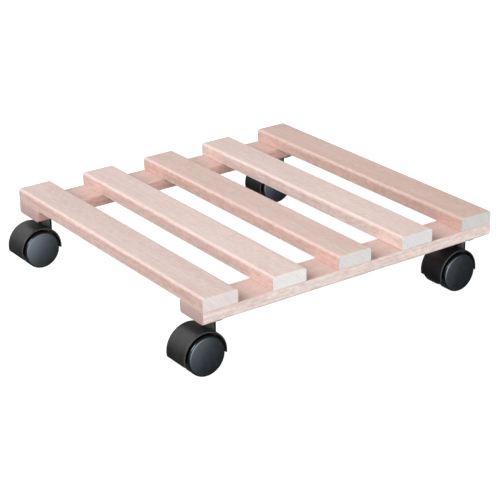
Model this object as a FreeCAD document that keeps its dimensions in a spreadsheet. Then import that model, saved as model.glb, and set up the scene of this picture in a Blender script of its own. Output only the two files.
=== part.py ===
import FreeCAD, Part
import os

import Sketcher

# Plant pot caddy: a square deck of five wooden slats on two crossbars, carried by four
# twin-wheel swivel castors.  Millimetres, +Z up, floor at z = 0, slats along Y.
# The origin is on the floor, midway along the overall length in X and Y.  All castors are
# swung to trail towards -X, where their hoods stand out past the deck.

DIMENSIONS = {
    # deck
    "deck_side": 350.0,
    "board_width": 39.0,
    "slat_thickness": 14.0,
    "bar_thickness": 13.0,
    "round_over": 3.0,
    "edge_ease": 1.0,
    "end_ease": 0.4,
    "slat_total": 5,
    # fasteners
    "screw_radius": 1.75,
    "screw_head_radius": 3.5,
    "screw_tip": 2.5,
    "recess_length": 3.6,
    "recess_width": 0.9,
    "recess_depth": 1.1,
    "slat_screw_length": 22.0,
    "slat_screw_spread": 22.0,
    "plate_screw_length": 12.0,
    "plate_screw_spread": 14.0,
    # castor layout, measured from the swivel axis at the crossbar's underside
    "castor_drop": 53.0,
    "pivot_inset": 21.0,
    "trail": 16.5,
    "end_play": 0.2,
    # mounting plate, swivel pin, washer and clip
    "plate_radius": 14.5,
    "plate_thickness": 2.5,
    "plate_edge_radius": 0.8,
    "pin_radius": 3.0,
    "pin_head_radius": 4.6,
    "pin_length": 29.5,
    "pin_end_bevel": 0.6,
    "washer_radius": 4.5,
    "washer_thickness": 0.8,
    "clip_radius": 4.0,
    "clip_thickness": 1.0,
    "clip_end_margin": 0.8,
    "clip_groove_radius": 2.3,
    "clip_mouth": 3.6,
    "running_gap": 0.05,
    # hood
    "hood_radius": 24.0,
    "hood_width": 30.0,
    "hood_wall": 1.4,
    "hood_rim_radius": 0.6,
    "hood_front_drop": 2.8,
    "hood_rear_drop": 5.0,
    "web_thickness": 8.0,
    "boss_radius": 4.5,
    "neck_reach": 8.5,
    "axle_boss_radius": 6.5,
    "clip_window_rear": 6.5,
    "clip_window_front": 4.8,
    # axle
    "axle_radius": 2.5,
    "axle_half_length": 15.5,
    "axle_bevel": 0.4,
    "axle_groove_radius": 2.0,
    "axle_groove_start": 12.9,
    "axle_groove_end": 14.3,
    # wheels, distances along the axle from the castor's middle plane
    "wheel_radius": 20.0,
    "wheel_inner": 4.5,
    "wheel_outer": 18.5,
    "hub_radius": 4.6,
    "rim_thickness": 2.6,
    "rim_start": 4.9,
    "face_thickness": 2.4,
    "face_edge_radius": 2.0,
    "tread_edge_radius": 0.7,
    "blind_end": 15.8,
    "bead_depth": 0.35,
    "bead_start": 13.2,
    "bead_end": 14.0,
    "rib_thickness": 1.4,
    "rib_start": 6.5,
    "rib_total": 6,
}

# Name, side in X and side in Y of each castor.
CASTORS = (
    ("front_left", -1, -1),
    ("front_right", 1, -1),
    ("back_left", -1, 1),
    ("back_right", 1, 1),
)

BAR_SIDES = (("front", -1), ("back", 1))
CUT_MARGIN = 5.0
TOLERANCE = 1e-6

doc = FreeCAD.newDocument("plant_pot_caddy")
sheet = doc.addObject("Spreadsheet::Sheet", "Dimensions")
sub_parts = []


class Size:
    """A number together with the spreadsheet formula that gives it."""

    def __init__(self, value, formula):
        self.value = value
        self.formula = formula

    def __add__(self, other):
        other = as_size(other)
        return Size(self.value + other.value, f"({self.formula} + {other.formula})")

    def __sub__(self, other):
        other = as_size(other)
        return Size(self.value - other.value, f"({self.formula} - {other.formula})")

    def __mul__(self, factor):
        factor = as_size(factor)
        return Size(self.value * factor.value, f"({self.formula} * {factor.formula})")

    def __truediv__(self, divisor):
        divisor = as_size(divisor)
        return Size(self.value / divisor.value, f"({self.formula} / {divisor.formula})")

    def __neg__(self):
        return self * -1.0


def as_size(number):
    if isinstance(number, Size):
        return number
    return Size(float(number), f"({float(number)})")


def fill_sheet():
    """Writes the driving dimensions, one row each, and returns them as Size values."""
    sizes = {}
    for row, (name, value) in enumerate(DIMENSIONS.items(), start=1):
        sheet.set(f"A{row}", name)
        sheet.set(f"B{row}", str(value))
        sheet.setAlias(f"B{row}", name)
        sizes[name] = Size(value, f"Dimensions.{name}")
    doc.recompute()
    return sizes


size = fill_sheet()
half_deck = size["deck_side"] / 2
half_board = size["board_width"] / 2
overhang = size["trail"] + size["hood_radius"] - size["pivot_inset"]
deck_middle = overhang / 2
bar_y = half_deck - half_board
slat_pitch = (size["deck_side"] - size["board_width"]) / (size["slat_total"] - 1)
head_depth = size["screw_head_radius"] - size["screw_radius"]
bore_radius = size["pin_radius"] + size["running_gap"]

# Depths below the crossbars' underside.
hood_top = size["plate_thickness"] + size["washer_thickness"] + size["end_play"]
clip_top = size["pin_length"] - size["clip_end_margin"] - size["clip_thickness"]
web_seat = clip_top - size["end_play"]


# ---------------------------------------------------------------- document helpers

def bind(target, prop, amount):
    target.setExpression(prop, as_size(amount).formula)


def new_body(label):
    body = doc.addObject("PartDesign::Body", label)
    body.Label = label
    body.AllowCompound = True
    sub_parts.append(body)
    return body


def place(body, x, y, z, turned=False):
    """Moves a finished body, turned half round the vertical where asked."""
    if turned:
        body.Placement = FreeCAD.Placement(
            FreeCAD.Vector(), FreeCAD.Rotation(FreeCAD.Vector(0, 0, 1), 180)
        )
    bind(body, "Placement.Base.x", x)
    bind(body, "Placement.Base.y", y)
    bind(body, "Placement.Base.z", z)


def origin_feature(body, role):
    return next(f for f in body.Origin.OriginFeatures if f.Role == role)


def new_sketch(body, name, plane, offset=0.0):
    """A sketch on one of the body's own origin planes, moved along that plane's normal."""
    sketch = body.newObject("Sketcher::SketchObject", f"{body.Name}_{name}")
    sketch.AttachmentSupport = [(origin_feature(body, plane), "")]
    sketch.MapMode = "FlatFace"
    bind(sketch, "AttachmentOffset.Base.z", offset)
    return sketch


def constrain(sketch, kind, where, amount):
    index = sketch.addConstraint(Sketcher.Constraint(kind, *where, amount.value))
    sketch.setExpression(f"Constraints[{index}]", amount.formula)


def pin_point(sketch, edge, end, x, y):
    constrain(sketch, "DistanceX", (-1, 1, edge, end), as_size(x))
    constrain(sketch, "DistanceY", (-1, 1, edge, end), as_size(y))


def add_polygon(sketch, corners):
    """A closed outline of straight edges, every corner held by the sheet."""
    corners = [(as_size(x), as_size(y)) for x, y in corners]
    points = [FreeCAD.Vector(x.value, y.value, 0) for x, y in corners]
    first = sketch.GeometryCount
    total = len(points)
    for i in range(total):
        sketch.addGeometry(Part.LineSegment(points[i], points[(i + 1) % total]), False)
    for i in range(total):
        following = first + (i + 1) % total
        sketch.addConstraint(Sketcher.Constraint("Coincident", first + i, 2, following, 1))
        pin_point(sketch, first + i, 1, *corners[i])


def add_rectangle(sketch, x0, x1, y0, y1):
    add_polygon(sketch, [(x0, y0), (x1, y0), (x1, y1), (x0, y1)])


def add_circle(sketch, x, y, radius):
    x, y, radius = as_size(x), as_size(y), as_size(radius)
    centre = FreeCAD.Vector(x.value, y.value, 0)
    circle = sketch.addGeometry(Part.Circle(centre, FreeCAD.Vector(0, 0, 1), radius.value), False)
    pin_point(sketch, circle, 3, x, y)
    constrain(sketch, "Radius", (circle,), radius)


def volume_of(body):
    doc.recompute()
    return body.Shape.Volume


def extrude(body, name, sketch, length, kind="Pad", symmetric=False, backwards=False):
    """A Pad adds material and a Pocket takes it away; either has to change the volume."""
    before = 0.0 if body.Tip is None else volume_of(body)
    feature = body.newObject(f"PartDesign::{kind}", f"{body.Name}_{name}")
    feature.Profile = sketch
    bind(feature, "Length", length)
    if symmetric:
        feature.SideType = "Symmetric"
    feature.Reversed = backwards
    sketch.Visibility = False
    change = volume_of(body) - before
    if change * (1 if kind == "Pad" else -1) < TOLERANCE:
        raise RuntimeError(f"{feature.Name} changed the volume by {change:.4f}")
    return feature


def revolve(body, name, sketch):
    """Turns a half profile once around its sketch's vertical axis."""
    feature = body.newObject("PartDesign::Revolution", f"{body.Name}_{name}")
    feature.Profile = sketch
    feature.ReferenceAxis = (sketch, ["V_Axis"])
    feature.Angle = 360.0
    sketch.Visibility = False
    doc.recompute()
    return feature


def dress_edges(body, kind, name, amount, wanted):
    """A Fillet or Chamfer on the body's edges that the wanted function picks."""
    base = body.Tip
    names = [f"Edge{i}" for i, edge in enumerate(base.Shape.Edges, start=1) if wanted(edge)]
    feature = body.newObject(f"PartDesign::{kind}", f"{body.Name}_{name}")
    feature.Base = (base, names)
    bind(feature, "Radius" if kind == "Fillet" else "Size", amount)
    doc.recompute()
    return feature


def countersunk_holes(body, name, sketch, depth):
    """Screw holes that open with the cone of a flush head, drilled up from the sketch."""
    doc.recompute()
    before = body.Shape.Volume
    hole = body.newObject("PartDesign::Hole", f"{body.Name}_{name}")
    hole.Profile = sketch
    doc.recompute()
    hole.Threaded = False
    hole.ThreadType = "None"
    hole.DepthType = "Dimension"
    hole.DrillPoint = "Flat"
    hole.HoleCutType = "Countersink"
    hole.HoleCutCountersinkAngle = 90.0
    bind(hole, "Diameter", size["screw_radius"] * 2)
    bind(hole, "HoleCutDiameter", size["screw_head_radius"] * 2)
    bind(hole, "Depth", depth)
    hole.Reversed = True
    sketch.Visibility = False
    if before - volume_of(body) < TOLERANCE:
        raise RuntimeError(f"{hole.Name} removed nothing")


# ---------------------------------------------------------------- deck

def runs_along(edge, direction):
    """True for a straight edge parallel to the given unit direction."""
    if edge.Curve.TypeId != "Part::GeomLine":
        return False
    return abs(edge.Curve.Direction.dot(direction)) > 1 - TOLERANCE


def is_circle(edge, radius):
    return edge.Curve.TypeId == "Part::GeomCircle" and abs(edge.Curve.Radius - radius) < TOLERANCE


def board(label, half_x, half_y, thickness, grain, rounded_top):
    """A planed board lying on z = 0, with one pair of long edges rounded over."""
    body = new_body(label)
    outline = new_sketch(body, "outline", "XY_Plane")
    add_rectangle(outline, -half_x, half_x, -half_y, half_y)
    extrude(body, "board", outline, thickness)
    middle = thickness.value / 2

    def long_edge(at_top):
        return lambda e: runs_along(e, grain) and (e.CenterOfMass.z > middle) == at_top

    dress_edges(body, "Fillet", "round_over", size["round_over"], long_edge(rounded_top))
    dress_edges(body, "Fillet", "edge_ease", size["edge_ease"], long_edge(not rounded_top))
    reach = max(half_x.value, half_y.value)

    def end_edge(edge):
        ends = [abs(v.Point.dot(grain)) for v in edge.Vertexes]
        return min(ends) > reach - TOLERANCE

    dress_edges(body, "Chamfer", "end_ease", size["end_ease"], end_edge)
    return body


def slat(number):
    """A slat along Y; its pilot holes take the screws that come up through the crossbars."""
    body = board(
        f"slat_{number}", half_board, half_deck, size["slat_thickness"],
        FreeCAD.Vector(0, 1, 0), True,
    )
    pilots = new_sketch(body, "pilots", "XY_Plane")
    for across in (-0.5, 0.5):
        for along in (-1, 1):
            add_circle(pilots, size["slat_screw_spread"] * across, bar_y * along, size["screw_radius"])
    depth = size["slat_screw_length"] - size["bar_thickness"]
    extrude(body, "pilot_holes", pilots, depth, "Pocket", backwards=True)
    place(
        body, deck_middle + slat_pitch * (number - 1) - bar_y, 0.0,
        size["castor_drop"] + size["bar_thickness"],
    )


def crossbar(name, side):
    """A crossbar along X under the slats, with its holes for slat and castor screws."""
    body = board(
        f"crossbar_{name}", half_deck, half_board, size["bar_thickness"],
        FreeCAD.Vector(1, 0, 0), False,
    )
    slat_holes = new_sketch(body, "slat_screws", "XY_Plane")
    for number in range(DIMENSIONS["slat_total"]):
        for across in (-0.5, 0.5):
            x = slat_pitch * number - bar_y + size["slat_screw_spread"] * across
            add_circle(slat_holes, x, 0.0, size["screw_radius"])
    countersunk_holes(body, "slat_screw_holes", slat_holes, size["bar_thickness"])
    plate_holes = new_sketch(body, "plate_screws", "XY_Plane")
    for end in (-1, 1):
        for across in (-0.5, 0.5):
            for along in (-0.5, 0.5):
                x = (half_deck - size["pivot_inset"]) * end + size["plate_screw_spread"] * across
                y = size["plate_screw_spread"] * along
                add_circle(plate_holes, x, y, size["screw_radius"])
    depth = size["plate_screw_length"] - size["plate_thickness"]
    extrude(body, "plate_screw_holes", plate_holes, depth, "Pocket", backwards=True)
    place(body, deck_middle, bar_y * side, size["castor_drop"])


def screws(label, length, first, second):
    """Countersunk wood screws pointing up, repeated along two axes of (role, count, reach)."""
    body = new_body(label)
    profile = new_sketch(body, "profile", "XZ_Plane")
    add_polygon(profile, [
        (0.0, 0.0),
        (size["screw_head_radius"], 0.0),
        (size["screw_radius"], head_depth),
        (size["screw_radius"], length - size["screw_tip"]),
        (0.0, length),
    ])
    revolve(body, "screw", profile)
    recess = new_sketch(body, "recess", "XY_Plane")
    arm = size["recess_length"] / 2
    side = size["recess_width"] / 2
    add_polygon(recess, [
        (arm, -side), (arm, side), (side, side), (side, arm), (-side, arm), (-side, side),
        (-arm, side), (-arm, -side), (-side, -side), (-side, -arm), (side, -arm), (side, -side),
    ])
    extrude(body, "cross_recess", recess, size["recess_depth"], "Pocket", backwards=True)
    grid = body.newObject("PartDesign::LinearPattern", f"{label}_grid")
    grid.TransformMode = "Whole shape"
    grid.Direction = (origin_feature(body, first[0]), [""])
    grid.Direction2 = (origin_feature(body, second[0]), [""])
    grid.Occurrences = first[1]
    grid.Occurrences2 = second[1]
    bind(grid, "Length", first[2])
    bind(grid, "Length2", second[2])
    body.Tip = grid
    doc.recompute()
    return body


def slat_screws(name, side):
    """Two screws through a crossbar into each slat, heads flush with its underside."""
    reach = size["deck_side"] - size["board_width"]
    body = screws(
        f"slat_screws_{name}", size["slat_screw_length"],
        ("X_Axis", DIMENSIONS["slat_total"], reach),
        ("X_Axis", 2, size["slat_screw_spread"]),
    )
    first_x = deck_middle - bar_y - size["slat_screw_spread"] / 2
    place(body, first_x, bar_y * side, size["castor_drop"])


# ---------------------------------------------------------------- castor pieces

def mounting_plate(label, x, y):
    """A round plate flat against the crossbar, countersunk below for four screws."""
    body = new_body(label)
    top = size["castor_drop"]
    disc = new_sketch(body, "disc", "XY_Plane")
    add_circle(disc, 0.0, 0.0, size["plate_radius"])
    extrude(body, "disc", disc, size["plate_thickness"])
    dress_edges(
        body, "Fillet", "lower_edge", size["plate_edge_radius"],
        lambda e: e.CenterOfMass.z < TOLERANCE,
    )
    holes = new_sketch(body, "screw_holes", "XY_Plane")
    half_spread = size["plate_screw_spread"] / 2
    for across in (-1, 1):
        for along in (-1, 1):
            add_circle(holes, half_spread * across, half_spread * along, size["screw_radius"])
    countersunk_holes(body, "screw_holes", holes, size["plate_thickness"])
    seat = new_sketch(body, "pin_seat", "XZ_Plane")
    cone = size["pin_head_radius"] - size["pin_radius"]
    add_polygon(seat, [
        (0.0, 0.0),
        (size["pin_radius"], 0.0),
        (size["pin_radius"], size["plate_thickness"] - cone),
        (size["pin_head_radius"], size["plate_thickness"]),
        (0.0, size["plate_thickness"]),
    ])
    groove = body.newObject("PartDesign::Groove", f"{label}_pin_seat_cut")
    groove.Profile = seat
    groove.ReferenceAxis = (seat, ["V_Axis"])
    groove.Angle = 360.0
    doc.recompute()
    place(body, x, y, top - size["plate_thickness"])


def plate_screws(label, x, y):
    """The four screws of one castor plate, heads flush with the plate's underside."""
    body = screws(
        label, size["plate_screw_length"],
        ("X_Axis", 2, size["plate_screw_spread"]),
        ("Y_Axis", 2, size["plate_screw_spread"]),
    )
    half_spread = size["plate_screw_spread"] / 2
    z = size["castor_drop"] - size["plate_thickness"]
    place(body, x - half_spread, y - half_spread, z)


def swivel_pin(label, x, y):
    """A steel pin riveted into the plate, grooved near its lower end for the clip."""
    body = new_body(label)
    cone = size["pin_head_radius"] - size["pin_radius"]
    clip_bottom = clip_top + size["clip_thickness"]
    profile = new_sketch(body, "profile", "XZ_Plane")
    add_polygon(profile, [
        (0.0, 0.0),
        (size["pin_head_radius"], 0.0),
        (size["pin_radius"], -cone),
        (size["pin_radius"], -clip_top),
        (size["clip_groove_radius"], -clip_top),
        (size["clip_groove_radius"], -clip_bottom),
        (size["pin_radius"], -clip_bottom),
        (size["pin_radius"], size["pin_end_bevel"] - size["pin_length"]),
        (size["pin_radius"] - size["pin_end_bevel"], -size["pin_length"]),
        (0.0, -size["pin_length"]),
    ])
    revolve(body, "pin", profile)
    place(body, x, y, size["castor_drop"])


def thrust_washer(label, x, y):
    """A flat washer under the plate for the hood to turn against."""
    body = new_body(label)
    ring = new_sketch(body, "ring", "XY_Plane")
    add_circle(ring, 0.0, 0.0, size["washer_radius"])
    add_circle(ring, 0.0, 0.0, bore_radius)
    extrude(body, "ring", ring, size["washer_thickness"])
    z = size["castor_drop"] - size["plate_thickness"] - size["washer_thickness"]
    place(body, x, y, z)


def retaining_clip(label, x, y):
    """An open ring snapped into the pin's groove, which keeps the hood on the pin."""
    body = new_body(label)
    ring = new_sketch(body, "ring", "XY_Plane")
    add_circle(ring, 0.0, 0.0, size["clip_radius"])
    add_circle(ring, 0.0, 0.0, size["clip_groove_radius"])
    extrude(body, "ring", ring, size["clip_thickness"])
    mouth = new_sketch(body, "mouth", "XY_Plane")
    half_mouth = size["clip_mouth"] / 2
    add_rectangle(mouth, 0.0, size["clip_radius"] + CUT_MARGIN, -half_mouth, half_mouth)
    extrude(body, "mouth", mouth, size["clip_thickness"], "Pocket", backwards=True)
    place(body, x, y, size["castor_drop"] - clip_top - size["clip_thickness"])


def hood(label, x, y):
    """The moulded hood: a curved shell over both wheels on a central web, which holds the
    swivel bore and the axle and rises behind the swivel boss as a solid neck.  Its own
    origin is on the swivel axis at crossbar level."""
    body = new_body(label)
    axle_x = -size["trail"]
    axle_z = size["wheel_radius"] - size["castor_drop"]
    radius = size["hood_radius"]
    disc = new_sketch(body, "disc", "XZ_Plane")
    add_circle(disc, axle_x, axle_z, radius)
    extrude(body, "disc", disc, size["hood_width"], symmetric=True)
    dress_edges(
        body, "Fillet", "rims", size["hood_rim_radius"],
        lambda e: abs(e.CenterOfMass.y) > TOLERANCE and e.Closed,
    )
    open_bottom(body, axle_x, axle_z, radius)
    boss = new_sketch(body, "boss", "XY_Plane", -hood_top)
    add_circle(boss, 0.0, 0.0, size["boss_radius"])
    extrude(body, "boss", boss, web_seat - hood_top, backwards=True)
    half_web = size["web_thickness"] / 2
    neck = new_sketch(body, "neck", "XY_Plane", -hood_top)
    add_rectangle(neck, -size["neck_reach"], 0.0, -half_web, half_web)
    extrude(body, "neck", neck, web_seat - hood_top, backwards=True)
    axle_boss = new_sketch(body, "axle_boss", "XZ_Plane")
    add_circle(axle_boss, axle_x, axle_z, size["axle_boss_radius"])
    extrude(body, "axle_boss", axle_boss, size["web_thickness"], symmetric=True)
    depth = size["hood_width"] / 2 - half_web + CUT_MARGIN
    for side, backwards in ((-1, False), (1, True)):
        cavity = new_sketch(body, f"cavity_{side + 1}", "XZ_Plane", half_web * side)
        add_circle(cavity, axle_x, axle_z, radius - size["hood_wall"])
        extrude(body, f"wheel_cavity_{side + 1}", cavity, depth, "Pocket", backwards=backwards)
    window = new_sketch(body, "clip_window", "XZ_Plane")
    add_rectangle(
        window, -size["clip_window_rear"], size["clip_window_front"],
        -size["castor_drop"], -web_seat,
    )
    extrude(body, "clip_window", window, size["web_thickness"], "Pocket", symmetric=True)
    bore = new_sketch(body, "swivel_bore", "XY_Plane", -hood_top)
    add_circle(bore, 0.0, 0.0, bore_radius)
    extrude(body, "swivel_bore", bore, size["castor_drop"], "Pocket")
    axle_hole = new_sketch(body, "axle_hole", "XZ_Plane")
    add_circle(axle_hole, axle_x, axle_z, size["axle_radius"])
    extrude(body, "axle_hole", axle_hole, size["hood_width"], "Pocket", symmetric=True)
    place(body, x, y, size["castor_drop"])


def open_bottom(body, axle_x, axle_z, radius):
    """Cuts the hood away below the sloping line from its rear lip to its front lip."""
    rear_x = axle_x - radius
    front_x = axle_x + radius
    below = axle_z - radius - CUT_MARGIN
    outline = new_sketch(body, "open_bottom", "XZ_Plane")
    add_polygon(outline, [
        (rear_x, axle_z - size["hood_rear_drop"]),
        (front_x, axle_z - size["hood_front_drop"]),
        (front_x, below),
        (rear_x, below),
    ])
    extrude(body, "open_bottom", outline, size["hood_width"] * 2, "Pocket", symmetric=True)


def axle(label, x, y):
    """A steel axle held in the web, grooved near each end for the wheels' snap beads."""
    body = new_body(label)
    radius = size["axle_radius"]
    groove = size["axle_groove_radius"]
    end = size["axle_half_length"]
    half = [
        (radius, size["axle_groove_start"]),
        (groove, size["axle_groove_start"]),
        (groove, size["axle_groove_end"]),
        (radius, size["axle_groove_end"]),
        (radius, end - size["axle_bevel"]),
        (radius - size["axle_bevel"], end),
        (0.0, end),
    ]
    mirrored = [(r, -as_size(along)) for r, along in reversed(half)]
    profile = new_sketch(body, "profile", "XY_Plane")
    add_polygon(profile, half + mirrored)
    revolve(body, "axle", profile)
    place(body, x - size["trail"], y, size["wheel_radius"])


def wheel(label, x, y, side):
    """A moulded wheel with a closed outer face, a ribbed back and a blind snap-on bore."""
    body = new_body(label)
    radius = size["wheel_radius"]
    bore = size["axle_radius"] + size["running_gap"]
    bead = bore - size["bead_depth"]
    face_back = size["wheel_outer"] - size["face_thickness"]
    bead_slope = size["bead_depth"] / 2
    profile = new_sketch(body, "profile", "XY_Plane")
    add_polygon(profile, [
        (0.0, size["wheel_outer"]),
        (radius, size["wheel_outer"]),
        (radius, size["rim_start"]),
        (radius - size["rim_thickness"], size["rim_start"]),
        (radius - size["rim_thickness"], face_back),
        (size["hub_radius"], face_back),
        (size["hub_radius"], size["wheel_inner"]),
        (bore, size["wheel_inner"]),
        (bore, size["bead_start"]),
        (bead, size["bead_start"] + bead_slope),
        (bead, size["bead_end"] - bead_slope),
        (bore, size["bead_end"]),
        (bore, size["blind_end"]),
        (0.0, size["blind_end"]),
    ])
    revolve(body, "wheel", profile)

    def tread_edge(at_face):
        """Picks the tread's circle at the face or at the inner side."""
        middle = (size["wheel_outer"].value + size["rim_start"].value) / 2
        return lambda e: (
            e.Closed and is_circle(e, radius.value) and (e.CenterOfMass.y > middle) == at_face
        )

    dress_edges(body, "Fillet", "face_edge", size["face_edge_radius"], tread_edge(True))
    dress_edges(body, "Fillet", "inner_edge", size["tread_edge_radius"], tread_edge(False))
    rib = new_sketch(body, "rib", "XY_Plane")
    sunk = size["rib_thickness"] / 2
    add_rectangle(
        rib, size["hub_radius"] - sunk, radius - size["rim_thickness"] + sunk,
        size["rib_start"], face_back + sunk,
    )
    pad = extrude(body, "rib", rib, size["rib_thickness"], symmetric=True)
    ribs = body.newObject("PartDesign::PolarPattern", f"{label}_ribs")
    ribs.Originals = [pad]
    ribs.Axis = (origin_feature(body, "Y_Axis"), [""])
    ribs.Angle = 360.0
    ribs.Occurrences = DIMENSIONS["rib_total"]
    body.Tip = ribs
    doc.recompute()
    place(body, x - size["trail"], y, radius, turned=side < 0)


def castor(name, side_x, side_y):
    """Every piece of one castor; the outer wheel is the one nearer the deck's edge."""
    x = deck_middle + (half_deck - size["pivot_inset"]) * side_x
    y = bar_y * side_y
    mounting_plate(f"{name}_mounting_plate", x, y)
    plate_screws(f"{name}_plate_screws", x, y)
    swivel_pin(f"{name}_swivel_pin", x, y)
    thrust_washer(f"{name}_thrust_washer", x, y)
    retaining_clip(f"{name}_retaining_clip", x, y)
    hood(f"{name}_hood", x, y)
    axle(f"{name}_axle", x, y)
    wheel(f"{name}_outer_wheel", x, y, side_y)
    wheel(f"{name}_inner_wheel", x, y, -side_y)


# ---------------------------------------------------------------- assembly

def solids_wanted(body):
    """A set of screws is a grid of separate solids; every other sub-part is one solid."""
    if body.Tip.isDerivedFrom("PartDesign::LinearPattern"):
        return body.Tip.Occurrences * body.Tip.Occurrences2
    return 1


def check_document():
    """Stops if any object failed to compute or any sub-part has no sound shape."""
    doc.recompute()
    for item in doc.Objects:
        if "Invalid" in item.State or "Error" in item.State:
            raise RuntimeError(f"{item.Name} is {item.State}")
    for part in sub_parts:
        if part.Shape.isNull() or not part.Shape.isValid():
            raise RuntimeError(f"{part.Label} has no valid shape")
        if len(part.Shape.Solids) != solids_wanted(part):
            raise RuntimeError(f"{part.Label} has {len(part.Shape.Solids)} solids")


def write_steps():
    os.makedirs("parts", exist_ok=True)
    for part in sub_parts:
        part.Shape.exportStep(f"parts/{part.Label}.step")


for slat_number in range(1, DIMENSIONS["slat_total"] + 1):
    slat(slat_number)
for bar_name, bar_side in BAR_SIDES:
    crossbar(bar_name, bar_side)
    slat_screws(bar_name, bar_side)
for castor_name, castor_side_x, castor_side_y in CASTORS:
    castor(castor_name, castor_side_x, castor_side_y)
check_document()
write_steps()
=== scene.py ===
import math

import bmesh
import bpy
from mathutils import Matrix, Vector, noise


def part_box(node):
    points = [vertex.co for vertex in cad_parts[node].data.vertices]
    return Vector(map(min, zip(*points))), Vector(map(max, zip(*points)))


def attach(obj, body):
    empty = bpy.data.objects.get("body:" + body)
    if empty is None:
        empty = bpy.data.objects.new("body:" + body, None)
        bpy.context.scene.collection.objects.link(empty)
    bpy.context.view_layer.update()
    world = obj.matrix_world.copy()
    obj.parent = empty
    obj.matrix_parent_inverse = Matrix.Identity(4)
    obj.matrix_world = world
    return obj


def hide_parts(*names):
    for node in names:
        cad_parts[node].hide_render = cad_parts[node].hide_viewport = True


# Plant pot caddy: five beech slats on two crossbars, with four black twin-wheel castors.
# Metres, +Z up, floor at z = 0, slats along Y; the same frame as the CAD model.

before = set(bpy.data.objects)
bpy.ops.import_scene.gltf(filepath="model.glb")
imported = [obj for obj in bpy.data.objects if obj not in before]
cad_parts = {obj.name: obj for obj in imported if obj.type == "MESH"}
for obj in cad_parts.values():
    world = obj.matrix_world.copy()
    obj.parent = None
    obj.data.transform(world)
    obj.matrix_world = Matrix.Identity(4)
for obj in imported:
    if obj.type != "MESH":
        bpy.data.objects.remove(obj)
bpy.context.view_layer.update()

MM = 0.001
SLATS = [f"slat_{number}" for number in range(1, 6)]
BARS = ["crossbar_front", "crossbar_back"]
CASTORS = ["front_left", "front_right", "back_left", "back_right"]

# Boards: radii of the rounded and the eased long edges, and of the edges round each end, then
# how finely they are drawn, how deep and how far in from an edge they are worn, and how far in
# from an edge the painted highlight on the long edges reaches.
ROUND_OVER = 3.0 * MM
EDGE_EASE = 1.0 * MM
END_EASE = 0.4 * MM
CORNER_STEPS = 8
END_STEPS = 3
BOARD_STATIONS = 90
HOLDING_GAP = 0.6 * MM
OUTLINE_STEP = 4 * MM
EDGE_WEAR = 0.12 * MM
WEAR_REACH = 4 * MM
PAINTED_HIGHLIGHT_REACH = 3 * MM
BOARD_SHARP_ANGLE = 40

# Screws that come up through the crossbars, two to a slat, and the recesses cut for them.
SCREW_SPREAD = 22.0 * MM
SCREW_HEAD = 3.5 * MM
SCREW_SHANK = 1.75 * MM
RECESS_GAP = 0.08 * MM
RECESS_BELOW = 1 * MM
RECESS_TOP = 9 * MM
RECESS_SEGMENTS = 32


# ---------------------------------------------------------------- shader building

class Shader:
    """One material's node tree, with short calls for the nodes used here."""

    def __init__(self, name):
        self.material = bpy.data.materials.new(name)
        self.material.use_nodes = True
        self.tree = self.material.node_tree
        self.surface = self.tree.nodes["Principled BSDF"]
        coordinates = self.node("ShaderNodeTexCoord")
        self.point = coordinates.outputs["Object"]
        self.normal = coordinates.outputs["Normal"]

    def node(self, kind, **settings):
        made = self.tree.nodes.new(kind)
        for key, value in settings.items():
            setattr(made, key, value)
        return made

    def feed(self, socket, value):
        if isinstance(value, bpy.types.NodeSocket):
            self.tree.links.new(value, socket)
        else:
            socket.default_value = value

    def math(self, operation, *values):
        made = self.node("ShaderNodeMath", operation=operation)
        for socket, value in zip(made.inputs, values):
            self.feed(socket, value)
        return made.outputs[0]

    def vector(self, operation, first, second):
        made = self.node("ShaderNodeVectorMath", operation=operation)
        self.feed(made.inputs[0], first)
        self.feed(made.inputs[3] if operation == "SCALE" else made.inputs[1], second)
        return made.outputs[0]

    def split(self, vector):
        made = self.node("ShaderNodeSeparateXYZ")
        self.feed(made.inputs[0], vector)
        return made.outputs

    def join(self, x, y, z):
        made = self.node("ShaderNodeCombineXYZ")
        for socket, value in zip(made.inputs, (x, y, z)):
            self.feed(socket, value)
        return made.outputs[0]

    def noise(self, vector, stretch=(1.0, 1.0, 1.0), detail=2.0, roughness=0.5, colour=False):
        """Noise whose features are about 1 / stretch metres long in each direction."""
        made = self.node("ShaderNodeTexNoise")
        self.feed(made.inputs["Vector"], self.vector("MULTIPLY", vector, stretch))
        made.inputs["Scale"].default_value = 1.0
        made.inputs["Detail"].default_value = detail
        made.inputs["Roughness"].default_value = roughness
        return made.outputs["Color" if colour else "Fac"]

    def cells(self, vector, stretch):
        made = self.node("ShaderNodeTexVoronoi")
        self.feed(made.inputs["Vector"], self.vector("MULTIPLY", vector, stretch))
        made.inputs["Scale"].default_value = 1.0
        return made.outputs["Distance"]

    def ramp(self, value, start, end, low=0.0, high=1.0):
        """A smooth step from low at start to high at end."""
        made = self.node("ShaderNodeMapRange", interpolation_type="SMOOTHSTEP")
        for socket, number in zip(made.inputs, (value, start, end, low, high)):
            self.feed(socket, number)
        return made.outputs[0]

    def mix(self, share, first, second):
        made = self.node("ShaderNodeMix", data_type="RGBA")
        self.feed(made.inputs[0], share)
        self.feed(made.inputs[6], first)
        self.feed(made.inputs[7], second)
        return made.outputs[2]

    def total(self, *values):
        result = values[0]
        for value in values[1:]:
            result = self.math("ADD", result, value)
        return result

    def around(self, value, weight):
        """A noise value shifted to vary about zero, times a weight."""
        return self.math("MULTIPLY", self.math("SUBTRACT", value, 0.5), weight)

    def bump(self, height, depth):
        made = self.node("ShaderNodeBump")
        made.inputs["Strength"].default_value = 1.0
        made.inputs["Distance"].default_value = depth
        self.feed(made.inputs["Height"], height)
        self.feed(self.surface.inputs["Normal"], made.outputs[0])

    def finish(self, colour, roughness, metallic=0.0, specular=0.5):
        self.feed(self.surface.inputs["Base Color"], colour)
        self.feed(self.surface.inputs["Roughness"], roughness)
        self.surface.inputs["Metallic"].default_value = metallic
        self.surface.inputs["Specular IOR Level"].default_value = specular
        return self.material


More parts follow.
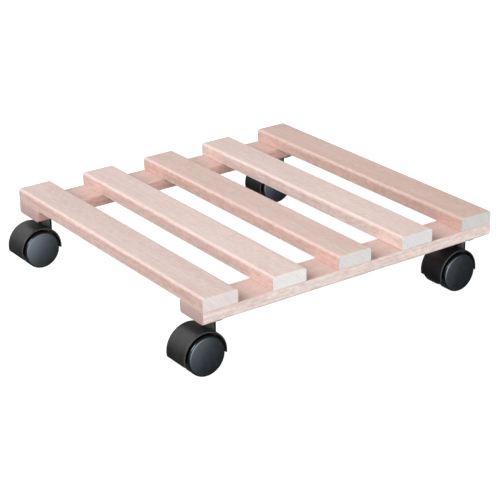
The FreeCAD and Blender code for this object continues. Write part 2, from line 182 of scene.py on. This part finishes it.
def linear(red, green, blue):
    """An sRGB colour in 0-255 steps as the linear RGBA that shaders use."""
    def channel(value):
        value /= 255.0
        return value / 12.92 if value <= 0.04045 else ((value + 0.055) / 1.055) ** 2.4
    return (channel(red), channel(green), channel(blue), 1.0)


# ---------------------------------------------------------------- wood

RING_PITCH = 2.6 * MM
RING_SWAY = 9.0 * MM
RING_UNEVENNESS = 3.0
WOOD_RELIEF = 0.04 * MM

# How fine each texture of the wood is: features per metre across, along and up.
SWAY = (9.0, 4.0, 9.0)
FADING = (35.0, 9.0, 35.0)
FIBRE = (700.0, 70.0, 700.0)
STREAK = (300.0, 9.0, 300.0)
BAND = (50.0, 4.0, 50.0)
MOTTLE = (330.0, 140.0, 330.0)
RAYS = (650.0, 150.0, 650.0)
SAW_MARKS = (520.0, 50.0, 1.0)
PORES = (800.0, 800.0, 800.0)

# How much livelier the narrow faces are than the wide ones.
LIVELY_SLAT = 1.1
LIVELY_CROSSBAR = 1.5

# A board's lightest wood as a share of its tone, and its darkest as shares of red, green and
# blue, along the grain and at the sawn ends.
LIGHTEST = 1.08
LONG_GRAIN = (0.84, 0.78, 0.75)
END_GRAIN = (0.86, 0.85, 0.84)

# For each board: the tones of its wide faces, its narrow faces and its sawn ends, where
# the tree's heart lies from the board's middle in mm (across, up), how far the growth lines
# drift across per metre, and where its noise starts. The narrow-face and end tones are partly
# the wood's own colour and partly painted light and shade, each toned to the light on that
# face: the back crossbar's narrow faces are painted darker as painted shade from under the
# deck, and the crossbar ends are painted darker.
BOARDS = {
    "slat_1": ((219, 199, 193), (217, 189, 181), (211, 200, 198), (-70.0, -62.0), 0.010, 1.0),
    "slat_2": ((226, 207, 201), (217, 188, 180), (213, 211, 209), (64.0, -80.0), -0.014, 2.0),
    "slat_3": ((221, 197, 188), (216, 183, 172), (202, 200, 198), (-48.0, -90.0), 0.018, 3.0),
    "slat_4": ((228, 209, 202), (224, 201, 194), (203, 202, 202), (90.0, -52.0), 0.006, 4.0),
    "slat_5": ((217, 190, 180), (211, 179, 169), (190, 188, 186), (-84.0, -44.0), -0.009, 5.0),
    "crossbar_front": ((214, 187, 178), (209, 196, 192), (191, 162, 159), (58.0, 66.0), 0.012, 6.0),
    "crossbar_back": (
        (212, 185, 176), (198, 157, 147), (193, 165, 161), (-66.0, 58.0), -0.011, 7.0),
}


def beech(name, half_width, half_height):
    """Pale beech: growth rings round an axis beside the board, fibres, rays and soft bands."""
    face_tone, side_tone_and_shade, end_tone_and_shade, heart, drift, seed = BOARDS[name]
    s = Shader(f"beech_{name}")
    x, y, z = s.split(s.point)
    shifted = s.vector("ADD", s.point, (seed * 1.7, seed * 2.3, seed * 0.9))

    # growth rings, of uneven width and strength
    sway = s.noise(shifted, SWAY, colour=True)
    sway = s.split(s.vector("SCALE", s.vector("SUBTRACT", sway, (0.5, 0.5, 0.5)), RING_SWAY))
    across = s.total(x, sway[0], s.math("MULTIPLY", y, drift), -heart[0] * MM)
    up = s.total(z, sway[2], -heart[1] * MM)
    radius = s.math("SQRT", s.math("ADD", s.math("MULTIPLY", across, across),
                                   s.math("MULTIPLY", up, up)))
    uneven = s.noise(s.join(radius, seed, 0.0), (160.0, 1.0, 1.0), detail=3.0)
    ring = s.math("FRACT", s.math("ADD", s.math("DIVIDE", radius, RING_PITCH),
                                  s.math("MULTIPLY", uneven, RING_UNEVENNESS)))
    late = s.math("MULTIPLY", s.ramp(ring, 0.35, 0.85), s.ramp(ring, 0.85, 1.0, 1.0, 0.0))
    fading = s.noise(shifted, FADING, detail=1.0)
    late = s.math("MULTIPLY", late, s.ramp(fading, 0.35, 0.70, 0.25, 1.0))

    # fibres, soft streaks and bands along the board, and the short dark rays of beech
    fibre = s.noise(shifted, FIBRE, detail=3.0, roughness=0.7)
    streak = s.noise(shifted, STREAK, detail=3.0, roughness=0.6)
    band = s.noise(shifted, BAND, detail=1.0)
    mottle = s.noise(shifted, MOTTLE, detail=3.0, roughness=0.6)
    rays = s.ramp(s.cells(shifted, RAYS), 0.08, 0.26, 1.0, 0.0)
    rays = s.math("MULTIPLY", rays, s.ramp(streak, 0.40, 0.60))
    across_grain = s.split(s.normal)
    at_side = s.ramp(s.math("ABSOLUTE", across_grain[0]), 0.35, 0.85)
    at_end = s.ramp(s.math("ABSOLUTE", across_grain[1]), 0.55, 0.80)
    figure = s.total(
        s.math("MULTIPLY", late, 0.17),
        s.around(fibre, 0.90),
        s.around(streak, 0.60),
        s.around(band, 0.70),
        s.around(mottle, 1.10),
        s.math("MULTIPLY", rays, 0.40),
    )
    # the narrow faces are livelier, most of all on the crossbars
    lively = LIVELY_CROSSBAR if name.startswith("crossbar") else LIVELY_SLAT
    figure = s.math("MULTIPLY", figure, s.total(1.0, s.math("MULTIPLY", at_side, lively)))
    depth = s.math("ADD", 0.40, figure)

    def shades(tone, darkening):
        middle = linear(*tone)[:3]
        light = [value * LIGHTEST for value in middle] + [1.0]
        dark = [value * share for value, share in zip(middle, darkening)] + [1.0]
        return light, dark

    face = s.mix(depth, *shades(face_tone, LONG_GRAIN))
    # the narrow faces take their own tone: partly the wood's colour on those faces, partly painted
    # light and shade
    side = s.mix(depth, *shades(side_tone_and_shade, LONG_GRAIN))
    colour = s.mix(at_side, face, side)

    # painted highlight: near the long rounded edges the colour is painted paler, as if the edges
    # caught the light
    near_side = s.ramp(s.math("ABSOLUTE", x), half_width - PAINTED_HIGHLIGHT_REACH, half_width)
    near_top = s.ramp(s.math("ABSOLUTE", z), half_height - PAINTED_HIGHLIGHT_REACH, half_height)
    edge = s.math("MULTIPLY", near_side, near_top)
    colour = s.mix(s.math("MULTIPLY", edge, 0.45), colour, shades(face_tone, LONG_GRAIN)[0])

    # sawn ends: open pores and slanting saw marks, on an end tone that is partly the end grain's
    # own colour and partly painted light and shade
    saw = s.noise(s.join(s.math("ADD", x, z), s.math("SUBTRACT", x, z), seed), SAW_MARKS)
    pores = s.noise(shifted, PORES, detail=3.0, roughness=0.7)
    end_depth = s.total(0.40, s.math("MULTIPLY", late, 0.30), s.around(saw, 1.3),
                        s.around(pores, 1.5), s.around(band, 0.6))
    colour = s.mix(at_end, colour, s.mix(end_depth, *shades(end_tone_and_shade, END_GRAIN)))

    side_height = s.total(s.math("MULTIPLY", fibre, 0.8), s.math("MULTIPLY", late, 0.3),
                          s.math("MULTIPLY", rays, -0.3), s.math("MULTIPLY", streak, 0.6))
    end_height = s.total(s.math("MULTIPLY", saw, 1.4), pores)
    height = s.node("ShaderNodeMix")
    for socket, value in zip(height.inputs[:1] + height.inputs[2:4],
                             (at_end, side_height, end_height)):
        s.feed(socket, value)
    s.bump(height.outputs[0], WOOD_RELIEF)
    roughness = s.total(0.52, s.around(streak, 0.20), s.math("MULTIPLY", at_end, 0.22))
    return s.finish(colour, roughness, specular=0.35)


# ---------------------------------------------------------------- plastic and metal

# The fine satin texture of moulded plastic, in features per metre.
SATIN = (3200.0, 3200.0, 3200.0)
HOOD_RELIEF = 0.025 * MM
WHEEL_RELIEF = 0.02 * MM
PAINT_RELIEF = 0.02 * MM
ZINC_RELIEF = 0.01 * MM

# The hood's swivel neck starts between these heights, where the roughness changes by this much.
NECK_START = 44.5 * MM
NECK_FULL = 45.5 * MM
NECK_ROUGHNESS_CHANGE = -0.16

# The wheels: colours of the face, the painted shade on the shoulder and the tread, and the
# tint of their reflection.
FACE_DEEP = (0.007, 0.008, 0.010, 1.0)
FACE_PALE = (0.014, 0.015, 0.018, 1.0)
SHOULDER_PAINTED_SHADE = (0.004, 0.004, 0.004, 1.0)
TREAD_DEEP = (0.006, 0.006, 0.006, 1.0)
TREAD_PALE = (0.018, 0.017, 0.017, 1.0)
REFLECTION_TINT = (0.74, 0.88, 1.0, 1.0)

HOOD_DEEP = (0.012, 0.012, 0.012, 1.0)
HOOD_PALE = (0.020, 0.019, 0.018, 1.0)
PAINT = (0.010, 0.010, 0.011, 1.0)
WORN_PAINT = (0.030, 0.029, 0.028, 1.0)
BRIGHT_STEEL = (0.62, 0.63, 0.65, 1.0)
DULL_STEEL = (0.48, 0.49, 0.51, 1.0)
BRIGHT_ZINC = (0.66, 0.66, 0.64, 1.0)
DULL_ZINC = (0.52, 0.52, 0.50, 1.0)


def moulded_plastic(name, deep, pale, roughness, specular):
    """Black moulded plastic: fine satin texture, faint clouding and a smoother swivel neck."""
    s = Shader(name)
    grain = s.noise(s.point, SATIN, detail=1.0)
    cloud = s.noise(s.point, (90.0, 90.0, 90.0), detail=3.0)
    dust = s.ramp(s.noise(s.point, (700.0, 700.0, 700.0), detail=2.0), 0.62, 0.75)
    share = s.total(s.ramp(cloud, 0.30, 0.70), s.math("MULTIPLY", dust, 0.5))
    s.bump(grain, HOOD_RELIEF)
    neck = s.ramp(s.split(s.point)[2], NECK_START, NECK_FULL)
    rough = s.total(roughness, s.around(cloud, 0.12), s.math("MULTIPLY", dust, 0.06),
                    s.math("MULTIPLY", neck, NECK_ROUGHNESS_CHANGE))
    return s.finish(s.mix(share, deep, pale), rough, specular=specular)


def wheel_plastic(radius):
    """The wheels' plastic: a satin face, a shoulder painted darker as painted shade, and a tread
    scuffed as it rolls.
    """
    s = Shader("wheel_plastic")
    x, y, z = s.split(s.point)
    from_axle = s.math("SQRT", s.math("ADD", s.math("MULTIPLY", x, x), s.math("MULTIPLY", z, z)))
    # painted shade: the shoulder's outer ring is painted darker than the face
    shoulder_shade = s.ramp(from_axle, radius - 1.2 * MM, radius - 0.5 * MM)
    tread = s.ramp(from_axle, radius - 0.35 * MM, radius - 0.05 * MM)
    grain = s.noise(s.point, SATIN, detail=1.0)
    cloud = s.noise(s.point, (130.0, 130.0, 130.0), detail=4.0, roughness=0.6)
    scuff = s.noise(s.join(s.math("ARCTAN2", x, z), y, 0.0), (2.5, 1800.0, 1.0), detail=3.0)
    face = s.mix(s.ramp(cloud, 0.3, 0.7), FACE_DEEP, FACE_PALE)
    face = s.mix(shoulder_shade, face, SHOULDER_PAINTED_SHADE)
    rolled = s.mix(s.ramp(scuff, 0.35, 0.7), TREAD_DEEP, TREAD_PALE)
    scratches = s.math("MULTIPLY", s.math("MULTIPLY", scuff, tread), 2.0)
    s.bump(s.math("ADD", grain, scratches), WHEEL_RELIEF)
    rough = s.total(0.20, s.around(cloud, 0.16))
    s.surface.inputs["Specular Tint"].default_value = REFLECTION_TINT
    return s.finish(s.mix(tread, face, rolled), rough, specular=0.85)


def painted_steel(name):
    """Black stove paint on steel plate, with a slight orange-peel surface."""
    s = Shader(name)
    peel = s.noise(s.point, (900.0, 900.0, 900.0), detail=1.0)
    wear = s.ramp(s.noise(s.point, (260.0, 260.0, 260.0), detail=4.0), 0.60, 0.72)
    s.bump(peel, PAINT_RELIEF)
    colour = s.mix(wear, PAINT, WORN_PAINT)
    return s.finish(colour, s.total(0.34, s.math("MULTIPLY", wear, 0.2)), specular=0.45)


def zinc_steel(name, bright, dull, roughness):
    """Zinc-plated steel with soft spangle and faint drawing lines."""
    s = Shader(name)
    spangle = s.noise(s.point, (420.0, 420.0, 420.0), detail=3.0)
    lines = s.noise(s.point, (2600.0, 2600.0, 200.0), detail=1.0)
    s.bump(lines, ZINC_RELIEF)
    rough = s.total(roughness, s.around(spangle, 0.20))
    return s.finish(s.mix(s.ramp(spangle, 0.3, 0.7), bright, dull), rough, metallic=1.0)


# ---------------------------------------------------------------- mesh building

def add_object(name, mesh, matrix, body, node):
    """Puts a mesh, with its material on it, in the frame as the shown form of one CAD node."""
    piece = bpy.data.objects.new(name, mesh)
    bpy.context.scene.collection.objects.link(piece)
    piece.matrix_world = matrix
    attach(piece, body)
    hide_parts(node)
    return piece


def board_outline(half_width, half_height, round_top, inset):
    """The section across the grain, drawn in by inset, as (across, up) points."""
    top, bottom = (ROUND_OVER, EDGE_EASE) if round_top else (EDGE_EASE, ROUND_OVER)
    points = []
    corners = ((1, 1, top, 0.0), (-1, 1, top, 0.5), (-1, -1, bottom, 1.0), (1, -1, bottom, 1.5))
    for side, up, radius, start in corners:
        centre_x = side * (half_width - radius)
        centre_z = up * (half_height - radius)
        reach = radius - inset
        for step in range(CORNER_STEPS + 1):
            angle = (start + 0.5 * step / CORNER_STEPS) * math.pi
            points.append((centre_x + reach * math.cos(angle), centre_z + reach * math.sin(angle)))
    spaced = []
    for index, (x, z) in enumerate(points):
        spaced.append((x, z))
        next_x, next_z = points[(index + 1) % len(points)]
        run = math.hypot(next_x - x, next_z - z)
        if run > 3 * HOLDING_GAP:
            pieces = max(2, round(run / OUTLINE_STEP))
            shares = [HOLDING_GAP / run] + [i / pieces for i in range(1, pieces)]
            for share in shares + [1 - HOLDING_GAP / run]:
                spaced.append((x + (next_x - x) * share, z + (next_z - z) * share))
    return spaced


def board_mesh(name, half_width, half_length, half_height, round_top, seed):
    """A planed board along its own Y, its long edges rubbed very slightly uneven."""
    stations = []
    for step in range(END_STEPS + 1):
        angle = 0.5 * math.pi * step / END_STEPS
        along = -half_length + END_EASE * (1 - math.cos(angle))
        stations.append((along, END_EASE * (1 - math.sin(angle))))
    inner = half_length - END_EASE
    for step in range(1, BOARD_STATIONS):
        stations.append((-inner + 2 * inner * step / BOARD_STATIONS, 0.0))
    stations += [(-along, inset) for along, inset in reversed(stations[:END_STEPS + 1])]
    mesh = bpy.data.meshes.new(name)
    shape = bmesh.new()
    rings = []
    for along, inset in stations:
        ring = []
        for x, z in board_outline(half_width, half_height, round_top, inset):
            near_edge = max(0.0, abs(x) - half_width + WEAR_REACH) / WEAR_REACH
            unevenness = noise.noise(Vector((x * 90, along * 28, z * 90 + seed * 10)))
            worn = EDGE_WEAR * near_edge * (0.5 + 0.5 * unevenness)
            corner = (x - math.copysign(worn, x), along, z - math.copysign(worn, z))
            ring.append(shape.verts.new(corner))
        rings.append(ring)
    for first, second in zip(rings, rings[1:]):
        for i in range(len(first)):
            j = (i + 1) % len(first)
            shape.faces.new((first[i], second[i], second[j], first[j]))
    shape.faces.new(rings[0])
    shape.faces.new(list(reversed(rings[-1])))
    bmesh.ops.recalc_face_normals(shape, faces=shape.faces)
    for face in shape.faces:
        face.smooth = len(face.verts) == 4
    shape.to_mesh(mesh)
    shape.free()
    return mesh


def lathe(shape, profile, segments):
    """Turns a closed (radius, along) outline round the Y axis; radius 0 is on the axis."""
    columns = []
    for radius, along in profile:
        if radius == 0.0:
            columns.append([shape.verts.new((0.0, along, 0.0))] * segments)
            continue
        ring = []
        for i in range(segments):
            angle = 2 * math.pi * i / segments
            spot = (radius * math.cos(angle), along, radius * math.sin(angle))
            ring.append(shape.verts.new(spot))
        columns.append(ring)
    for first, second in zip(columns, columns[1:] + columns[:1]):
        for i in range(segments):
            j = (i + 1) % segments
            corners = []
            for vertex in (first[i], second[i], second[j], first[j]):
                if vertex not in corners:
                    corners.append(vertex)
            if len(corners) > 2:
                shape.faces.new(corners)
    bmesh.ops.recalc_face_normals(shape, faces=shape.faces)


def combined(name, base, tool, operation):
    """The exact boolean of two meshes, as a new mesh."""
    holder = bpy.data.objects.new(name, base)
    cutter = bpy.data.objects.new(f"{name}_tool", tool)
    for part in (holder, cutter):
        bpy.context.scene.collection.objects.link(part)
    modifier = holder.modifiers.new("combine", "BOOLEAN")
    modifier.operation = operation
    modifier.solver = "EXACT"
    modifier.object = cutter
    evaluated = holder.evaluated_get(bpy.context.evaluated_depsgraph_get())
    result = bpy.data.meshes.new_from_object(evaluated)
    result.name = name
    for part in (holder, cutter):
        bpy.data.objects.remove(part)
    return result


def sharp_by_angle(mesh, degrees):
    """Smooth shading, broken where faces meet at more than the given angle."""
    mesh.polygons.foreach_set("use_smooth", [True] * len(mesh.polygons))
    mesh.set_sharp_from_angle(angle=math.radians(degrees))


# ---------------------------------------------------------------- deck

def centre_and_half(node):
    low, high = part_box(node)
    return (low + high) / 2, (high - low) / 2


def make_slat(node):
    centre, half = centre_and_half(node)
    mesh = board_mesh(f"{node}_board", half.x, half.y, half.z, True, BOARDS[node][-1])
    mesh.materials.append(beech(node, half.x, half.z))
    add_object(f"{node}_board", mesh, Matrix.Translation(centre), "deck", node)


def screw_recesses(places, bottom):
    """Cones and shanks, a hair larger than the screws, to cut a board's underside with."""
    mesh = bpy.data.meshes.new("screw_recesses")
    cutter = bmesh.new()
    head = SCREW_HEAD + RECESS_GAP
    shank = SCREW_SHANK + RECESS_GAP
    profile = (
        (0.0, -RECESS_BELOW), (head, -RECESS_BELOW), (head, 0.0), (shank, head - shank),
        (shank, RECESS_TOP), (0.0, RECESS_TOP),
    )
    for x, y in places:
        recess = bmesh.new()
        lathe(recess, profile, RECESS_SEGMENTS)
        lift = Matrix.Translation((x, y, bottom)) @ Matrix.Rotation(math.pi / 2, 4, "X")
        recess.transform(lift)
        part = bpy.data.meshes.new("recess")
        recess.to_mesh(part)
        recess.free()
        cutter.from_mesh(part)
        bpy.data.meshes.remove(part)
    cutter.to_mesh(mesh)
    cutter.free()
    return mesh


def make_crossbar(node):
    """A crossbar is made along its own Y and turned a quarter to lie along X."""
    centre, half = centre_and_half(node)
    mesh = board_mesh(f"{node}_blank", half.y, half.x, half.z, False, BOARDS[node][-1])
    places = []
    for slat in SLATS:
        middle = centre_and_half(slat)[0].x - centre.x
        for side in (-0.5, 0.5):
            places.append((0.0, middle + side * SCREW_SPREAD))
    cut = combined(f"{node}_board", mesh, screw_recesses(places, -half.z), "DIFFERENCE")
    sharp_by_angle(cut, BOARD_SHARP_ANGLE)
    turn = Matrix.Translation(centre) @ Matrix.Rotation(-math.pi / 2, 4, "Z")
    cut.materials.append(beech(node, half.y, half.z))
    add_object(f"{node}_board", cut, turn, "deck", node)


# ---------------------------------------------------------------- wheels

FACE_DOME = 0.9 * MM
FACE_STEPS = 18
SHOULDER = 2.0 * MM
SHOULDER_STEPS = 12
INNER_ROUND = 0.7 * MM
RIM = 2.6 * MM
RIM_SETBACK = 0.4 * MM
HUB = 4.6 * MM
HUB_CHAMFER = 0.2 * MM
BORE = 2.55 * MM
BORE_CHAMFER = 0.3 * MM
BORE_FLOOR = 1.2 * MM
BACK_FILLET = 0.8 * MM
FILLET_STEPS = 4
FACE_THICK = 2.4 * MM
RIB_THICK = 1.4 * MM
RIB_SETBACK = 2 * MM
RIB_TOTAL = 6
WHEEL_SEGMENTS = 128
WHEEL_SHARP_ANGLE = 32


def arc(centre, radius, start, end, steps):
    """Points (radius, along) on an arc; angles in quarter turns from the outward direction."""
    points = []
    for i in range(steps + 1):
        angle = (start + (end - start) * i / steps) * math.pi / 2
        points.append((centre[0] + radius * math.cos(angle), centre[1] + radius * math.sin(angle)))
    return points


def wheel_profile(radius, inner, outer):
    """Half section of a wheel: domed face, round shoulder, open ribbed back and blind bore."""
    flat = radius - SHOULDER
    slope = math.atan(2 * FACE_DOME / flat)
    face = []
    for step in range(FACE_STEPS):
        share = step / FACE_STEPS
        face.append((flat * share, outer - FACE_DOME * share * share))
    start = 1.0 - slope / (math.pi / 2)
    edge_centre = (flat, outer - FACE_DOME - SHOULDER * math.cos(slope))
    edge = arc(edge_centre, SHOULDER, start, 0.0, SHOULDER_STEPS)
    rim_start = inner + RIM_SETBACK
    round_centre = (radius - INNER_ROUND, rim_start + INNER_ROUND)
    back_edge = arc(round_centre, INNER_ROUND, 0.0, -1.0, FILLET_STEPS)
    corner = outer - FACE_THICK - BACK_FILLET
    rim_corner = (radius - RIM - BACK_FILLET, corner)
    inside = [(radius - RIM, rim_start)]
    inside += arc(rim_corner, BACK_FILLET, 0.0, 1.0, FILLET_STEPS)
    inside += arc((HUB + BACK_FILLET, corner), BACK_FILLET, 1.0, 2.0, FILLET_STEPS)
    inside += [(HUB, inner + HUB_CHAMFER), (HUB - HUB_CHAMFER, inner)]
    inside += [(BORE + BORE_CHAMFER, inner), (BORE, inner + BORE_CHAMFER)]
    inside += [(BORE, outer - BORE_FLOOR), (0.0, outer - BORE_FLOOR)]
    return face + edge + back_edge + inside


def wheel_mesh(radius, inner, outer):
    turned = bmesh.new()
    lathe(turned, wheel_profile(radius, inner, outer), WHEEL_SEGMENTS)
    body = bpy.data.meshes.new("wheel_body")
    turned.to_mesh(body)
    turned.free()
    ribs = bmesh.new()
    start, end = HUB - RIB_THICK / 2, radius - RIM + RIB_THICK / 2
    low, high = inner + RIB_SETBACK, outer - FACE_THICK + RIB_THICK / 2
    for number in range(RIB_TOTAL):
        rib = bmesh.ops.create_cube(ribs, size=1.0)["verts"]
        bmesh.ops.scale(ribs, vec=(end - start, high - low, RIB_THICK), verts=rib)
        bmesh.ops.translate(ribs, vec=((start + end) / 2, (low + high) / 2, 0), verts=rib)
        turn = Matrix.Rotation(2 * math.pi * number / RIB_TOTAL, 3, "Y")
        bmesh.ops.rotate(ribs, cent=(0, 0, 0), matrix=turn, verts=rib)
    rib_mesh = bpy.data.meshes.new("wheel_ribs")
    ribs.to_mesh(rib_mesh)
    ribs.free()
    mesh = combined("wheel", body, rib_mesh, "UNION")
    sharp_by_angle(mesh, WHEEL_SHARP_ANGLE)
    return mesh


def make_wheels():
    """One mesh serves all eight wheels, each turned to face out of its castor."""
    mesh = None
    for castor in CASTORS:
        middle = centre_and_half(f"{castor}_hood")[0]
        for place in ("outer", "inner"):
            node = f"{castor}_{place}_wheel"
            centre, half = centre_and_half(node)
            if mesh is None:
                offset = abs(centre.y - middle.y)
                mesh = wheel_mesh(half.x, offset - half.y, offset + half.y)
                mesh.materials.append(wheel_plastic(half.x))
            turn = 0.0 if centre.y > middle.y else math.pi
            hub = Matrix.Translation((centre.x, middle.y, centre.z))
            matrix = hub @ Matrix.Rotation(turn, 4, "Z")
            add_object(f"{node}_moulding", mesh, matrix, node, node)


# ---------------------------------------------------------------- CAD nodes that stay

def dress_cad_nodes():
    """Gives every CAD node that is still shown its own material."""
    hood = moulded_plastic("hood_plastic", HOOD_DEEP, HOOD_PALE, 0.42, 0.45)
    plate = painted_steel("plate_paint")
    steel = zinc_steel("bright_steel", BRIGHT_STEEL, DULL_STEEL, 0.32)
    screw = zinc_steel("zinc_screws", BRIGHT_ZINC, DULL_ZINC, 0.36)
    finishes = {
        "hood": hood, "mounting_plate": plate, "swivel_pin": steel, "thrust_washer": steel,
        "retaining_clip": steel, "axle": steel, "plate_screws": screw,
        "slat_screws_front": screw, "slat_screws_back": screw,
    }
    for name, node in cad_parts.items():
        for ending, material in finishes.items():
            if name.endswith(ending):
                node.data.materials.clear()
                node.data.materials.append(material)


# ---------------------------------------------------------------- studio

FLOOR_REACH = 15.0
FLOOR_GLOW = 0.95
FLOOR_DEEP = (0.30, 0.30, 0.30, 1.0)
FLOOR_PALE = (0.32, 0.32, 0.32, 1.0)


def make_floor():
    """A pale floor that glows, near white round the castors, but neither lights the object
    nor shows in its reflections."""
    s = Shader("studio_floor")
    mottle = s.noise(s.point, (3.0, 3.0, 3.0), detail=2.0)
    colour = s.mix(mottle, FLOOR_DEEP, FLOOR_PALE)
    s.surface.inputs["Emission Color"].default_value = (1.0, 1.0, 1.0, 1.0)
    s.surface.inputs["Emission Strength"].default_value = FLOOR_GLOW
    s.finish(colour, s.total(0.9, s.around(mottle, 0.05)), specular=0.1)
    mesh = bpy.data.meshes.new("studio_floor")
    corners = [
        (-FLOOR_REACH, -FLOOR_REACH, 0), (FLOOR_REACH, -FLOOR_REACH, 0),
        (FLOOR_REACH, FLOOR_REACH, 0), (-FLOOR_REACH, FLOOR_REACH, 0),
    ]
    mesh.from_pydata(corners, [], [(0, 1, 2, 3)])
    mesh.materials.append(s.material)
    floor = bpy.data.objects.new("studio_floor", mesh)
    bpy.context.scene.collection.objects.link(floor)
    floor.visible_diffuse = False
    floor.visible_glossy = False


def direction(azimuth, elevation):
    """The unit vector from the object towards something at that azimuth and elevation."""
    a, e = math.radians(azimuth), math.radians(elevation)
    return Vector((math.sin(a) * math.cos(e), -math.cos(a) * math.cos(e), math.sin(e)))


def add_softbox(name, azimuth, elevation, distance, size, power):
    lamp = bpy.data.lights.new(name, "AREA")
    lamp.shape = "SQUARE"
    lamp.size = size
    lamp.energy = power
    box = bpy.data.objects.new(name, lamp)
    bpy.context.scene.collection.objects.link(box)
    back = direction(azimuth, elevation)
    box.location = back * distance
    box.rotation_mode = "QUATERNION"
    box.rotation_quaternion = (-back).to_track_quat("-Z", "Y")


# The sky's brightness above and below the horizon, and the heights that it changes between.
WORLD_ABOVE = 0.15
WORLD_BELOW = 0.08
HORIZON = (-0.25, 0.10)

# The soft box beside the object: angles in degrees, metres and watts.
KEY_AZIMUTH = -85.0
KEY_ELEVATION = 41.0
KEY_DISTANCE = 3.0
KEY_SIZE = 1.6
KEY_POWER = 67.0

# Soft white glows on the sky: azimuth, elevation and strength.
GLOWS = [
    (0.0, 0.0, 9.1),
    (-130.0, 30.0, 1.6),
    (180.0, 40.0, 1.65),
    (-90.0, 5.0, 0.4),
]
GLOW_SHARPNESS = 12.0


def light_studio():
    """A dim sky, darker below, with soft glows in it and one soft box beside the object."""
    world = bpy.data.worlds.new("studio")
    bpy.context.scene.world = world
    world.use_nodes = True
    tree = world.node_tree

    def node(kind, operation=None):
        made = tree.nodes.new("ShaderNode" + kind)
        if operation:
            made.operation = operation
        return made

    toward = node("TexCoord").outputs["Generated"]
    height = node("SeparateXYZ")
    tree.links.new(toward, height.inputs[0])
    dome = node("MapRange")
    for socket, value in zip(dome.inputs[1:5], HORIZON + (WORLD_BELOW, WORLD_ABOVE)):
        socket.default_value = value
    tree.links.new(height.outputs[2], dome.inputs[0])
    light = dome.outputs[0]
    for azimuth, elevation, strength in GLOWS:
        facing = node("VectorMath", "DOT_PRODUCT")
        tree.links.new(toward, facing.inputs[0])
        facing.inputs[1].default_value = direction(azimuth, elevation)
        above_zero = node("Math", "MAXIMUM")
        tree.links.new(facing.outputs["Value"], above_zero.inputs[0])
        above_zero.inputs[1].default_value = 0.0
        glow = node("Math", "POWER")
        tree.links.new(above_zero.outputs[0], glow.inputs[0])
        glow.inputs[1].default_value = GLOW_SHARPNESS
        scaled = node("VectorMath", "SCALE")
        scaled.inputs[0].default_value = (strength, strength, strength)
        tree.links.new(glow.outputs[0], scaled.inputs[3])
        both = node("VectorMath", "ADD")
        tree.links.new(light, both.inputs[0])
        tree.links.new(scaled.outputs[0], both.inputs[1])
        light = both.outputs[0]
    tree.links.new(light, tree.nodes["Background"].inputs["Color"])
    add_softbox("key", KEY_AZIMUTH, KEY_ELEVATION, KEY_DISTANCE, KEY_SIZE, KEY_POWER)
    bpy.context.scene.view_settings.view_transform = "Standard"


CAMERA_AZIMUTH = -34.95
CAMERA_ELEVATION = 23.21
CAMERA_ROLL = -1.05
CAMERA_DISTANCE = 1602.1 * MM
CAMERA_LENS = 115.39
CAMERA_SENSOR = 36.0
CAMERA_NEAR = 0.05
CAMERA_TARGET = Vector((-30.83, -57.94, 53.0)) * MM


def add_camera():
    back = direction(CAMERA_AZIMUTH, CAMERA_ELEVATION)
    level = Vector((0, 0, 1)).cross(back).normalized()
    upright = back.cross(level)
    roll = math.radians(CAMERA_ROLL)
    right = math.cos(roll) * level + math.sin(roll) * upright
    up = math.cos(roll) * upright - math.sin(roll) * level
    camera = bpy.data.cameras.new("camera")
    camera.sensor_width = CAMERA_SENSOR
    camera.lens = CAMERA_LENS
    camera.clip_start = CAMERA_NEAR
    holder = bpy.data.objects.new("camera", camera)
    bpy.context.scene.collection.objects.link(holder)
    turn = Matrix((right, up, back)).transposed().to_4x4()
    holder.matrix_world = Matrix.Translation(CAMERA_TARGET + back * CAMERA_DISTANCE) @ turn
    bpy.context.scene.camera = holder


for slat_node in SLATS:
    make_slat(slat_node)
for bar_node in BARS:
    make_crossbar(bar_node)
make_wheels()
dress_cad_nodes()
make_floor()
light_studio()
add_camera()
